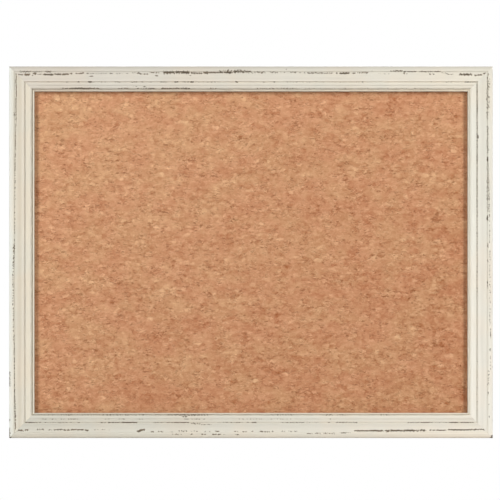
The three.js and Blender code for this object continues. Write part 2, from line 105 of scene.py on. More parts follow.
# Each mark is a line rubbed through the paint, listed under the line of the section that it follows. A free
# mark begins with its distance in from the outer edge, or with that distance at its two ends. Then come its
# ends from the board's middle (to the right on a rail and upwards on a stile), its strength, where 1 takes
# all the paint, and its spread. Lengths are in millimetres.
wear_marks = {
    "top_rail": {
        "free": (
            (11.2, -317, -310, 0.9, 0.9), (11.2, -309, -300, 1.25, 1.2), (12.1, -299, -296, 1.1, 0.9),
            (9.7, -297, -291, 1.05, 1.8), (7.0, 7.4, -316, -296, 0.48, 1.4),
            (7.4, 7.0, -296, -283, 0.44, 1.6), (10.8, -291, -283, 0.95, 0.8),
            (11.2, -283, -268, 1.25, 1.2), (7.2, -281, -271, 0.61, 1.5), (10.6, -268, -258, 1.2, 1.0),
            (11.0, 10.2, -258, -247, 1.25, 1.2), (9.8, -247, -243, 1.2, 1.0), (9.8, -239, -236, 1.05, 0.8),
            (10.0, 8.7, -235, -227, 1.15, 0.85), (9.8, -226, -196, 0.45, 0.8),
            (13.4, -220, -214, 0.85, 0.8), (9.8, -194, -188, 0.66, 0.8), (9.8, -186, -165, 0.42, 0.7),
            (8.7, -163, -156, 0.45, 1.0), (14.0, -160, -158, 0.8, 0.7), (9.3, -156, -151, 0.95, 1.1),
            (10.4, -152, -139, 0.88, 0.9), (8.7, -139, -123, 0.6, 0.9), (12.7, -131, -126, 1.1, 0.8),
            (8.7, 8.5, -120, -103, 0.86, 2.0), (8.2, -103, -83, 0.9, 1.8), (12.7, -84, -81, 0.8, 0.7),
            (9.2, -82, -66, 0.95, 1.3), (9.0, 8.7, -66, -57, 1.0, 1.5), (8.6, 8.5, -58, -37, 1.2, 0.85),
            (6.4, -44, -25, 0.55, 1.6), (8.6, -38, -25, 1.1, 1.3), (7.2, 6.9, -25, -7, 0.78, 2.1),
            (6.9, 7.1, -8, 1, 0.86, 1.9), (8.7, 8.2, 0, 7, 0.58, 1.3), (8.2, 7, 20, 0.74, 1.3),
            (8.3, 25, 37, 0.52, 1.5), (8.1, 37, 53, 0.38, 0.9), (4.2, 46, 49, 0.85, 0.7),
            (8.3, 53, 63, 0.64, 1.0), (8.5, 8.9, 63, 76, 0.4, 0.8), (9.2, 76, 99, 0.82, 1.0),
            (9.3, 99, 112, 0.84, 1.0), (9.6, 115, 119, 1.25, 0.9), (9.4, 120, 135, 1.15, 1.15),
            (9.4, 9.3, 137, 144, 0.88, 1.1), (8.9, 8.2, 144, 160, 0.6, 1.4), (6.4, 163, 166, 0.75, 0.8),
            (9.8, 173, 190, 0.36, 0.6), (6.4, 189, 207, 0.88, 0.8), (7.5, 7.3, 207, 212, 0.82, 1.0),
            (7.0, 212, 226, 0.72, 0.75), (10.0, 205, 213, 0.55, 0.9), (7.3, 229, 260, 0.68, 0.9),
            (10.4, 241, 251, 0.62, 0.9), (7.9, 9.7, 259, 267, 0.66, 0.9),
            (10.1, 10.9, 265, 276, 0.62, 1.0), (11.0, 283, 303, 0.98, 1.5),
            (12.5, 11.5, 303, 316, 0.92, 1.1), (9.5, 316, 320, 1.0, 1.1), (27.4, -148, -141, 0.75, 0.8),
            (27.1, -170, -154, 0.36, 0.5),
        ),
        "step": (
            (-278, -274, 0.65, 0.6), (-252, -248, 0.65, 0.6), (-237, -233, 0.9, 0.7),
            (-222, -216, 1.2, 1.0), (-216, -196, 0.4, 0.5), (-187, -175, 0.6, 0.5), (-165, -154, 0.7, 0.6),
            (-149, -145, 0.9, 0.8), (-138, -135, 0.8, 0.6), (-126, -114, 0.6, 0.5), (-105, -98, 0.85, 0.7),
            (-95, -83, 0.6, 0.5), (-83, -78, 1.15, 0.9), (-78, -40, 0.45, 0.5), (-22, -17, 1.15, 0.8),
            (15, 21, 0.75, 0.6), (30, 34, 0.9, 0.7), (45, 150, 0.32, 0.5), (150, 154, 0.65, 0.6),
            (243, 247, 0.65, 0.7), (258, 308, 0.45, 0.5), (290, 308, 0.85, 0.6),
        ),
        "bead_end": (
            (-257, -206, 0.85, 0.8), (-241, -216, 1.05, 0.9), (-183, -166, 0.8, 0.7),
            (-157, -128, 0.75, 0.7), (-123, -83, 0.8, 0.9), (-57, -46, 0.6, 0.8), (6, 60, 0.55, 0.8),
            (60, 280, 0.25, 0.7),
        ),
    },
    "bottom_rail": {
        "free": (
            (10.4, -321, -317, 0.8, 0.8), (11.0, -317, -311, 1.15, 1.1), (10.0, -311, -308, 0.9, 0.9),
            (11.4, -308, -302, 1.15, 0.9), (11.5, -292, -281, 0.88, 1.1), (11.4, -277, -271, 0.7, 0.8),
            (11.5, -270, -256, 0.85, 0.9), (11.0, -256, -246, 0.95, 1.1), (11.5, -246, -227, 1.1, 0.85),
            (11.0, -227, -221, 1.05, 1.2), (11.4, -221, -190, 0.4, 0.7), (9.3, 11.8, -156, -144, 1.3, 1.4),
            (9.1, -138, -131, 0.72, 0.9), (9.1, -128, -118, 0.68, 1.0), (9.0, -111, -106, 0.8, 0.8),
            (9.5, -100, -85, 0.4, 1.3), (9.3, -83, -71, 0.38, 1.1), (9.3, -66, -53, 0.58, 0.8),
            (9.3, -49, -42, 0.88, 0.8), (9.1, -36, -33, 0.7, 0.7), (9.1, -25, -17, 0.66, 0.7),
            (9.1, -12, -4, 0.66, 0.7), (5.3, -108, -93, 0.57, 1.0), (5.3, -83, -78, 0.92, 0.9),
            (5.6, -69, -60, 0.92, 0.75), (5.3, -54, -46, 0.95, 0.85), (5.3, -46, -39, 0.95, 0.9),
            (5.2, -38, -34, 0.75, 0.8), (5.2, -22, -16, 0.6, 0.8), (9.1, 0, 4, 0.92, 0.7),
            (9.1, 11, 27, 0.8, 0.8), (9.1, 28, 32, 0.95, 0.8), (9.1, 40, 49, 0.5, 0.8),
            (9.1, 50, 64, 0.45, 0.9), (6.5, 75, 84, 0.88, 0.7), (6.7, 87, 95, 0.76, 1.0),
            (6.7, 98, 115, 0.5, 1.0), (7.4, 121, 136, 0.64, 0.8), (10.3, 10.2, 140, 163, 1.25, 0.85),
            (10.1, 10.0, 162, 181, 1.25, 1.1), (9.9, 182, 190, 0.85, 1.7), (10.3, 189, 208, 1.3, 1.35),
            (10.5, 207, 224, 1.25, 1.5), (10.4, 224, 239, 0.78, 1.6), (10.9, 11.2, 243, 267, 1.0, 0.85),
            (11.3, 11.4, 268, 296, 1.15, 0.9), (11.4, 11.8, 296, 310, 1.1, 1.1),
            (12.4, 10.5, 310, 327, 1.05, 0.95), (19.8, 19.4, -83, -68, 0.56, 1.3),
            (18.3, -68, -53, 0.66, 0.8), (29.1, -95, -85, 0.75, 0.8),
        ),
        "edge": ((-331, -325, 0.9, 1.4), (324, 331, 0.9, 1.4)),
        "step": (
            (-308, -285, 0.85, 0.55), (-283, -237, 0.48, 0.5), (-237, -232, 0.8, 0.6),
            (-206, -195, 0.65, 0.6), (-195, -178, 0.85, 0.6), (-178, -154, 1.25, 0.65),
            (-134, -116, 0.6, 0.5), (-116, -83, 0.9, 0.6), (-46, -11, 0.62, 0.5), (-8, 0, 0.6, 0.5),
            (0, 8, 0.95, 0.6), (40, 74, 0.6, 0.45), (75, 94, 0.4, 0.6), (102, 110, 0.52, 0.7),
            (115, 146, 0.7, 0.6), (212, 249, 0.78, 0.6), (249, 268, 0.6, 0.5), (269, 283, 1.05, 0.6),
            (283, 304, 0.9, 0.6),
        ),
        "fillet": (
            (-292, -253, 0.5, 0.5), (-250, -234, 0.62, 0.5), (-201, -189, 0.55, 0.5),
            (-181, -171, 0.7, 0.5), (-156, -145, 0.45, 0.5), (-92, -61, 0.6, 0.5), (-19, 60, 0.3, 0.5),
            (106, 117, 0.4, 0.6),
        ),
        "groove": (
            (-300, -100, 0.4, 0.6), (-257, -241, 0.78, 0.7), (-206, -165, 0.7, 0.7),
            (-172, -140, 0.8, 0.7), (-115, -58, 0.92, 0.9), (25, 60, 0.66, 0.7), (101, 112, 0.92, 0.8),
            (115, 134, 0.55, 0.6), (175, 191, 0.85, 0.6),
        ),
    },
    "left_stile": {
        "free": (
            (9.6, 9.5, 213, 246, 1.15, 0.66), (9.5, 9.4, 176, 213, 1.15, 0.6), (6.9, 184, 191, 0.72, 1.0),
            (8.8, 9.1, 138, 176, 1.05, 0.52), (8.5, 8.7, 128, 138, 1.0, 0.5),
            (8.3, 8.4, 103, 127, 0.74, 0.45), (8.2, 8.3, 85, 103, 0.72, 0.5), (8.1, 68, 85, 0.46, 0.45),
            (8.2, 60, 64, 0.6, 0.6), (7.8, 42, 57, 0.7, 0.5), (7.7, 25, 42, 0.6, 0.45),
            (6.9, 7.3, 12, 18, 0.56, 0.6), (6.6, -3, 13, 0.64, 1.5), (6.2, -20, -3, 0.74, 1.0),
            (5.9, -26, -19, 0.64, 0.7), (5.7, -57, -25, 0.88, 0.55), (5.6, -73, -57, 0.88, 0.5),
            (6.2, 5.8, -110, -74, 0.76, 0.5), (6.7, -122, -110, 0.52, 1.1),
            (7.0, 6.9, -141, -122, 0.7, 0.42), (7.4, 7.3, -163, -141, 0.56, 0.5),
            (7.6, 7.3, -185, -163, 0.66, 0.5), (8.3, 7.7, -215, -185, 0.95, 0.6),
            (8.9, 8.4, -243, -215, 0.92, 0.7),
        ),
        "edge": ((-183, -162, 0.85, 1.0), (-231, -226, 0.8, 0.9), (-253, -238, 0.85, 1.1)),
    },
    "right_stile": {
        "free": (
            (6.1, 239, 244, 0.78, 1.0), (7.4, 235, 240, 0.72, 0.8), (4.4, 229, 237, 0.66, 0.8),
            (6.4, 6.2, 220, 236, 0.47, 2.8), (7.0, 7.2, 214, 220, 0.5, 2.2),
            (7.0, 6.8, 206, 215, 0.5, 2.5), (5.0, 196, 213, 0.4, 0.8), (7.2, 7.4, 194, 206, 0.47, 2.0),
            (7.2, 7.3, 180, 193, 0.48, 1.5), (7.3, 158, 173, 0.48, 1.4), (7.2, 153, 158, 0.64, 0.9),
            (6.9, 7.2, 131, 154, 0.42, 1.9), (7.4, 123, 131, 1.0, 1.0), (6.2, 6.5, 54, 123, 0.47, 2.5),
            (7.6, 42, 51, 0.9, 1.3), (4.6, 4.7, 12, 80, 0.76, 0.5), (7.0, 6, 14, 0.66, 1.0),
            (4.3, -15, 5, 0.66, 0.55), (7.2, -14, -9, 0.62, 0.8), (4.3, -38, -15, 0.46, 0.7),
            (7.2, -50, -38, 0.58, 0.7), (4.0, 4.2, -100, -38, 0.48, 0.8), (3.0, -118, -102, 0.88, 0.65),
            (3.9, -135, -130, 1.1, 0.9), (3.3, -160, -136, 0.4, 0.8), (5.8, -182, -159, 0.33, 1.8),
            (6.6, -196, -189, 0.48, 1.1), (5.5, -208, -205, 0.8, 0.7), (4.9, -225, -222, 0.8, 0.7),
            (20.0, 154, 160, 0.95, 0.9),
        ),
        "edge": ((-251, 60, 0.2, 0.6), (-256, -248, 1.3, 1.8)),
        "step": (
            (60, 232, 0.66, 0.45), (0, 60, 0.46, 0.45), (190, 204, 0.9, 0.5), (120, 135, 0.9, 0.5),
            (-60, 0, 0.42, 0.45), (-174, -146, 0.26, 0.45), (-218, -180, 0.28, 0.45),
        ),
    },
}

# How much brown glaze stays along each line: its spread in millimetres, then the share on the top rail,
# bottom rail, left stile and right stile. The lip row is glaze and partly painted shade on the lips of the
# top rail and right stile.
glaze_and_lip_shade = {
    "quirk": (0.9, 0.15, 0.0, 0.2, 0.0),
    "step": (0.75, 0.15, 0.35, 0.2, 0.4),
    "fillet": (0.7, 0.22, 0.5, 0.0, 0.0),
    "bead_end": (0.9, 0.8, 0.0, 0.8, 0.0),
    "groove": (0.8, 0.65, 0.7, 0.45, 0.0),
    "lip": (0.8, 0.9, 0.0, 0.1, 1.0),
}
# Light and shade painted into the coat across each section: its spread in millimetres, then the amount on
# each side in the same order. The edge row is painted shade along the top and bottom rails' outer edges and a
# painted highlight along the left stile's. The cove and ridge rows are painted shade in the hollow of the
# cove. The ridge_end row is a painted highlight over the top rail's step, and the groove row a painted
# highlight in the right stile's groove. The lip row is partly painted shade on the lips. The fillet row
# darkens the top rail's fillet and lightens the stiles' a little, and the bead_end row darkens the top
# rail's bead end.
coat_light_and_shade = {
    "edge": (4.2, -0.24, -0.06, 0.05, 0.0),
    "ridge_end": (0.7, 0.26, 0.0, 0.0, 0.0),
    "cove": (3.8, -0.06, 0.01, -0.13, -0.08),
    "ridge": (2.6, -0.07, 0.03, 0.0, 0.0),
    "fillet": (2.8, -0.13, 0.0, 0.02, 0.04),
    "bead_end": (0.8, -0.07, 0.0, 0.0, 0.0),
    "groove": (0.9, 0.0, 0.0, 0.0, 0.12),
    "lip": (1.3, -0.13, 0.0, 0.0, -0.15),
}
# Where the coat is yellower, or with a minus sign cooler, in the same order. The left stile's cool outer
# edge is a painted bluish highlight, and the warm lips are partly painted bounce light from the cork.
warmth_and_painted_light = {
    "edge": (4.2, 0.0, 0.6, -0.9, 0.0),
    "cove": (4.5, 0.0, 0.0, 0.6, 0.0),
    "fillet": (3.5, 0.0, 0.0, 0.45, -0.1),
    "lip": (1.5, 0.8, 0.4, 0.3, 0.7),
}
side_order = ("top_rail", "bottom_rail", "left_stile", "right_stile")
# The coat's tint at the left or lower end of each side, and at its other end. The sides' differences in
# brightness, and the change along each side, are partly painted light: the right stile lightest, and the
# rails darker at their left ends.
tints_and_painted_light = {
    "top_rail": ((215, 208, 195), (230, 224, 208)),
    "bottom_rail": ((209, 205, 191), (232, 225, 210)),
    "left_stile": ((228, 222, 206), (218, 213, 198)),
    "right_stile": ((239, 233, 219), (222, 218, 204)),
}


def straight(start, end, count):
    """The line from start to end as count points, start among them and end not."""
    share = np.linspace(0, 1, count, endpoint=False)[:, None]
    return (1 - share) * np.array(start) + share * np.array(end)


def bend(start, control, end, count):
    """The curve (1-t)^2 start + 2t(1-t) control + t^2 end as count points, start among them and end not."""
    t = np.linspace(0, 1, count, endpoint=False)[:, None]
    return (1 - t) ** 2 * np.array(start) + 2 * t * (1 - t) * np.array(control) + t**2 * np.array(end)


def outline(start, *runs):
    """Points along runs laid end to end. A run is (count, end) for a line and (count, control, end) for a
    curve, and a count of 0 only moves to its end."""
    laid = []
    for count, *corners in runs:
        laid.append(straight(start, *corners, count) if len(corners) == 1 else bend(start, *corners, count))
        start = corners[-1]
    return np.concatenate(laid)


def moulding_section():
    """The moulding's closed outline, as distances in from the outer edge and up from the back."""
    top = depth
    cove_start = band + quirk_width
    ridge_top = ridge_edge - ridge_round
    crest = bead_start + bead_crest * bead_width
    lip_top = top - lip_drop
    return outline(
        (0, 0),
        (9, (0, top - edge_round)),
        (8, (0, top), (edge_round, top)),
        (5, (band - band_round, top)),
        (4, (band, top), (band, top - band_round)),
        (2, (band, top - quirk_drop)),
        (2, (cove_start, top - quirk_drop)),
        (2, (cove_start, top - cove_edge_drop)),
        (18, ((cove_start + ridge_top) / 2, top - cove_drop), (ridge_top, top - ridge_drop)),
        (4, (ridge_edge, top - ridge_drop), (ridge_edge, top - ridge_side_drop)),
        (3, (fillet_start, top - step_drop)),
        (1, (fillet_start, top - fillet_drop)),
        (5, (fillet_end, top - fillet_drop)),
        (2, (bead_start, top - bead_start_drop)),
        (5, (bead_start, top - bead_drop), (crest, top - bead_drop)),
        (6, (groove_start, top - bead_drop), (groove_start, top - bead_end_drop)),
        (1, (groove_start, top - groove_drop)),
        (2, (lip_start, top - groove_drop)),
        (2, (lip_start, lip_top - lip_round)),
        (3, (lip_start, lip_top), (lip_start + lip_round, lip_top)),
        (0, (face - lip_round, lip_top)),
        (4, (face, lip_top), (face, lip_top - lip_round)),
        (4, (face, rabbet)),
        (3, (back_width, rabbet)),
        (4, (back_width, 0)),
        (8, (0, 0)),
    )


def eased(points, reach):
    """A closed outline with its sharp corners cut: with A and B at reach from a corner P, P becomes A,
    (A + 2P + B) / 4 and B."""
    before = np.roll(points, 1, axis=0) - points
    after = np.roll(points, -1, axis=0) - points
    length_before = np.linalg.norm(before, axis=1, keepdims=True)
    length_after = np.linalg.norm(after, axis=1, keepdims=True)
    sharp = (before * after).sum(1) / (length_before * length_after)[:, 0] > -0.9
    first = points + before * np.minimum(reach / length_before, 0.45)
    last = points + after * np.minimum(reach / length_after, 0.45)
    middle = np.where(sharp[:, None], (first + 2 * points + last) / 4, points)
    kept = np.stack((sharp, np.ones_like(sharp), sharp), axis=1)
    return np.stack((first, middle, last), axis=1)[kept]


def unit(vectors):
    """Each row divided by its length."""
    return vectors / np.linalg.norm(vectors, axis=1, keepdims=True)


def smoothed(value, low, high):
    """0 below low, 1 above high, and 3t^2 - 2t^3 between them."""
    t = np.clip((value - low) / (high - low), 0, 1)
    return t * t * (3 - 2 * t)


def rough(x, y, seed):
    """Smooth random values from 0 to 1: random numbers at whole x and y, joined by the ease 3t^2 - 2t^3."""
    table = np.random.default_rng(seed).random((256, 256))
    column, row = np.floor(x).astype(int), np.floor(y).astype(int)
    right, up = smoothed(x - column, 0, 1), smoothed(y - row, 0, 1)
    column, next_column = column % 256, (column + 1) % 256
    row, next_row = row % 256, (row + 1) % 256
    low = table[row, column] * (1 - right) + table[row, next_column] * right
    high = table[next_row, column] * (1 - right) + table[next_row, next_column] * right
    return low * (1 - up) + high * up


def rubbed(marks, along, across, seed):
    """How far the paint is gone: the greatest strength * ends * exp(-(distance to the line / spread)^2)."""
    worn = np.zeros(np.broadcast(along, across).shape)
    uneven = 0.78 + 0.44 * rough(along / (6 * mm), 0 * along + seed, seed)
    sway = (rough(along / (8 * mm), 0 * along + 3 * seed, seed) - 0.5) * 0.5 * mm
    for line, rows in marks.items():
        for *place, start, end, strength, spread in rows:
            first, last = np.broadcast_to(place, 2) * mm if place else (line_places[line],) * 2
            middle = first + (last - first) * np.clip((along / mm - start) / (end - start), 0, 1)
            off = across - middle - (sway if place else 0)
            begun = smoothed(along, (start - 1) * mm, (start + 2) * mm)
            ended = smoothed(-along, -(end + 1) * mm, -(end - 2) * mm)
            fade = np.exp(-((off / (spread * mm)) ** 2))
            worn = np.maximum(worn, strength * (begun * ended) * uneven * fade)
    return np.clip(worn, 0, 1)


def along_lines(name, across, table):
    """The sum over the table's lines of this side's amount * exp(-(distance from the line / spread)^2)."""
    column = side_order.index(name) + 1
    total = 0
    for line, row in table.items():
        total = total + row[column] * np.exp(-(((across - line_places[line]) / (row[0] * mm)) ** 2))
    return total


def placed(name, data):
    """A new object in the scene."""
    made = bpy.data.objects.new(name, data)
    bpy.context.scene.collection.objects.link(made)
    return made


def surface(name, points, faces, uv=None, sharp_angle=0.6, **attributes):
    """An object from arrays: points, a list of face arrays, UVs by corner, and float attributes by point."""
    mesh = bpy.data.meshes.new(name)
    corners = np.concatenate([f.ravel() for f in faces])
    sizes = np.concatenate([np.full(len(f), f.shape[1]) for f in faces])
    mesh.vertices.add(len(points))
    mesh.vertices.foreach_set("co", np.ascontiguousarray(points, np.float32).ravel())
    mesh.loops.add(len(corners))
    mesh.loops.foreach_set("vertex_index", corners.astype(np.int32))
    mesh.polygons.add(len(sizes))
    mesh.polygons.foreach_set("loop_start", np.concatenate(([0], np.cumsum(sizes)[:-1])).astype(np.int32))
    mesh.polygons.foreach_set("loop_total", sizes.astype(np.int32))
    mesh.polygons.foreach_set("use_smooth", np.ones(len(sizes), bool))
    if uv is not None:
        mesh.uv_layers.new(name="Grain").uv.foreach_set("vector", uv.astype(np.float32).ravel())
    for key, values in attributes.items():
        data = mesh.attributes.new(key, "FLOAT", "POINT").data
        data.foreach_set("value", values.astype(np.float32).ravel())
    mesh.update(calc_edges=True)
    mesh.validate()
    mesh.set_sharp_from_angle(angle=sharp_angle)
    return placed(name, mesh)


def tube_faces(rows, columns, close_rows=False):
    """Quads of a grid, numbered row by row. Its columns close into a ring, as its rows do with close_rows."""
    row = np.arange(rows if close_rows else rows - 1)[:, None]
    column = np.arange(columns)[None, :]
    here, after = row * columns, (row + 1) % rows * columns
    beside = (column + 1) % columns
    return np.stack((here + column, here + beside, after + beside, after + column), axis=-1).reshape(-1, 4)


def capped(rows, columns):
    """The faces of a tube that is open at its two ends, with one flat face over each end."""
    ring = np.arange(columns)[None, :]
    return [tube_faces(rows, columns), ring[:, ::-1], ring + (rows - 1) * columns]


def outward(points, faces):
    """The faces, all turned over if the volume that they close comes out negative."""
    first, second, third, fourth = (points[faces[0][:, corner]] for corner in range(4))
    cross = np.cross(third - first, fourth - second)
    volume = (((first + second + third + fourth) / 4 - points.mean(0)) * cross).sum()
    return faces if volume > 0 else [f[:, ::-1] for f in faces]


def moulding_side(name, along_way, outward_way, half_length, half_across, seed):
    """One length: the section carried along at s = t * (half length - distance in), which cuts its mitres."""
    section = eased(moulding_section(), corner_ease)
    across, height = section[:, 0], section[:, 1]
    count = int(2 * half_length / along_step)
    share = np.linspace(-1, 1, count)[:, None]
    along = share * (half_length - across)
    from_end = half_length - np.abs(share * half_length)
    marks = wear_marks[name]
    open_quirk = rubbed(marks, share * half_length, quirk_middle, seed)
    quirk_floor = depth - cove_edge_drop - (quirk_drop - cove_edge_drop) * (0.1 + 0.9 * open_quirk**2)
    in_quirk = np.abs(across - quirk_middle) < quirk_width
    height = np.where(in_quirk, np.maximum(height, quirk_floor), height + 0 * share)
    groove_open = min(1, 0.2 + along_lines(name, line_places["groove"], {"groove": glaze_and_lip_shade["groove"]}))
    groove_floor = depth - bead_end_drop - (groove_drop - bead_end_drop) * groove_open
    in_groove = (across > groove_start - line_margin) & (across < lip_start + line_margin)
    height = np.where(in_groove, np.maximum(height, groove_floor), height)
    tangent = unit(np.roll(section, -1, axis=0) - np.roll(section, 1, axis=0))
    normal_in, normal_up = -tangent[:, 1], tangent[:, 0]
    run = np.concatenate(([0], np.cumsum(np.linalg.norm(np.diff(section, axis=0), axis=1))))
    painted = smoothed(height, 2 * mm, 3.5 * mm) * (across < face + 1 * mm) * (height > rabbet - 0.01 * mm)
    outer_side = (across < line_margin) & (height <= rabbet)
    painted = np.where(outer_side, smoothed(height, 1.5 * mm, 3 * mm), painted)
    worn = rubbed(marks, along, across, seed) * smoothed(height, depth - 12 * mm, depth - 3 * mm)
    wobble = (rough(along / (23 * mm), run / (5 * mm) + seed, seed) - 0.5) * paint_wobble
    chips = worn * rough(along / (1.4 * mm), run / (1.1 * mm), seed + 7) * chip_depth
    sunk = (wobble - chips - paint_wobble / 2) * smoothed(from_end, 0, 6 * mm) * painted
    in_from_edge = across + normal_in * sunk
    up_from_back = height + normal_up * sunk
    points = (
        along[..., None] * np.array(along_way)
        + (half_across - in_from_edge)[..., None] * np.array(outward_way)
        + (frame_back - up_from_back)[..., None] * np.array((0, 1, 0))
    ).reshape(-1, 3)
    faces = outward(points, capped(count, len(section)))
    quad_corners = faces[0].ravel()
    end_corners = np.concatenate([f.ravel() for f in faces[1:]]) % len(section)
    flat_run = np.broadcast_to(run, along.shape).ravel()[quad_corners].reshape(-1, 4)
    closing = (flat_run == 0) & (flat_run.max(1, keepdims=True) > 0.5 * run[-1])
    flat_run = np.where(closing, run[-1] + 1 * mm, flat_run)
    uv = np.concatenate((
        np.stack((along.ravel()[quad_corners], flat_run.ravel()), axis=1),
        section[end_corners],
    ))
    inner_wall = (across > face - 0.2 * mm) * smoothed(depth - lip_drop - section[:, 1], 0.3 * mm, 0.8 * mm)
    # coat and warmth carry painted light and shade across the section along with the coat's own tone, and
    # glaze carries painted shade on the lips along with the glaze.
    by_point = {
        "worn": worn * painted,
        "glaze": (along_lines(name, across, glaze_and_lip_shade) + inner_wall) * painted,
        "coat": 1 + along_lines(name, across, coat_light_and_shade) - 0.4 * inner_wall,
        "warmth": along_lines(name, across, warmth_and_painted_light),
        "painted": painted,
        "far": (share + 1) / 2,
        "mitre": from_end,
    }
    by_point = {key: np.broadcast_to(values, along.shape) for key, values in by_point.items()}
    made = surface(f"{name}_moulding", points, faces, uv, **by_point)
    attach(made, "board")
    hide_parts(name)
    return made


def colour(red, green, blue):
    """A colour given from 0 to 255 as a screen shows it, as the linear RGBA that a socket takes."""
    shown = np.array((red, green, blue)) / 255
    linear = np.where(shown <= 0.04045, shown / 12.92, ((shown + 0.055) / 1.055) ** 2.4)
    return (*linear.tolist(), 1)


def node(kind, inputs=(), tree=None, **settings):
    """Adds a node to the tree, or else to the tree that its inputs come from. Each input is a value, or an
    output to link."""
    inputs = dict(inputs)
    linked = [key for key, value in inputs.items() if isinstance(value, bpy.types.NodeSocket)]
    tree = tree or inputs[linked[0]].id_data
    made = tree.nodes.new("ShaderNode" + kind)
    for key, value in settings.items():
        setattr(made, key, value)
    for key, value in inputs.items():
        if key in linked:
            tree.links.new(value, made.inputs[key])
        else:
            made.inputs[key].default_value = value
    return made


def math(operation, *values, clamp=False):
    """The output of a Math node."""
    return node("Math", dict(enumerate(values)), operation=operation, use_clamp=clamp).outputs[0]


def times(first, second):
    """first * second."""
    return math("MULTIPLY", first, second)


def scaled(value, factor, offset):
    """value * factor + offset."""
    return math("MULTIPLY_ADD", value, factor, offset)


def ramp(value, low, high):
    """0 at low, 1 at high, eased between them."""
    inputs = {"Value": value, "From Min": low, "From Max": high}
    return node("MapRange", inputs, interpolation_type="SMOOTHSTEP").outputs[0]


def mix(share, first, second, blend="MIX"):
    """The colour output of a Mix node."""
    return node("Mix", {0: share, 6: first, 7: second}, data_type="RGBA", blend_type=blend).outputs[2]


def stretched(vector, scale):
    """The vector with its axes multiplied by scale, so that a pattern on it is long where scale is small."""
    return node("VectorMath", {0: vector, 1: scale}, operation="MULTIPLY").outputs[0]


def noise(vector, scale, detail=2, roughness=0.5, distortion=0):
    """The value output of a Noise Texture node. Its scale is one number, or one for each axis."""
    if isinstance(scale, tuple):
        vector, scale = stretched(vector, scale), 1
    inputs = {"Vector": vector, "Scale": scale, "Detail": detail}
    inputs |= {"Roughness": roughness, "Distortion": distortion}
    return node("TexNoise", inputs).outputs[0]


def group(name, inputs, *outputs):
    """An empty node group with its inputs and outputs, and its two end nodes. An input that starts as a tuple
    is a colour, and so is the output called Color. The others are numbers."""
    tree = bpy.data.node_groups.new(name, "ShaderNodeTree")
    for key, value in inputs.items():
        kind = "NodeSocketColor" if isinstance(value, tuple) else "NodeSocketFloat"
        tree.interface.new_socket(key, in_out="INPUT", socket_type=kind).default_value = value
    for key in outputs:
        kind = "NodeSocketColor" if key == "Color" else "NodeSocketFloat"
        tree.interface.new_socket(key, in_out="OUTPUT", socket_type=kind)
    return tree, tree.nodes.new("NodeGroupInput"), tree.nodes.new("NodeGroupOutput")


def put_out(out, *values):
    """Links the values to the group's outputs, in order."""
    for value, socket in zip(values, out.inputs):
        out.id_data.links.new(value, socket)


def material(name, **settings):
    """A material with only a Principled BSDF and its output; settings are plain socket values."""
    made = bpy.data.materials.new(name)
    made.use_nodes = True
    tree = made.node_tree
    tree.nodes.clear()
    shader = node("BsdfPrincipled", {key.replace("_", " "): value for key, value in settings.items()}, tree)
    tree.links.new(shader.outputs[0], tree.nodes.new("ShaderNodeOutputMaterial").inputs[0])
    return made, tree, shader


def apply_finish(shader, outputs, distance, strength):
    """Links a finish to the shader: its Color, its Roughness if it has one, and its Height as a bump."""
    bump = node("Bump", {"Height": outputs["Height"], "Distance": distance, "Strength": strength})
    linked = {"Base Color": outputs["Color"], "Normal": bump.outputs[0]}
    if "Roughness" in outputs:
        linked["Roughness"] = outputs["Roughness"]
    for key, value in linked.items():
        shader.id_data.links.new(value, shader.inputs[key])


def pine_group():
    """Sawn pine: pale wood, darker growth lines along the length, and fine pores."""
    tree, _, out = group("SawnPine", {}, "Color", "Height")
    grain = node("UVMap", tree=tree, uv_map="Grain").outputs[0]
    wander = noise(grain, (9, 60, 1))
    waves = {"Scale": 1, "Distortion": 6, "Detail": 3, "Detail Scale": 0.8}
    waves["Vector"] = stretched(grain, (4, 260, 1))
    lines = node("TexWave", waves, bands_direction="Y").outputs[1]
    pores = noise(grain, (160, 2600, 1), 3)
    pale = mix(wander, colour(222, 190, 143), colour(202, 163, 112))
    lined = mix(times(lines, 0.45), pale, colour(168, 122, 74))
    pored = mix(times(ramp(pores, 0.62, 0.8), 0.5), lined, colour(126, 92, 60))
    put_out(out, pored, math("SUBTRACT", lines, pores))
    return tree


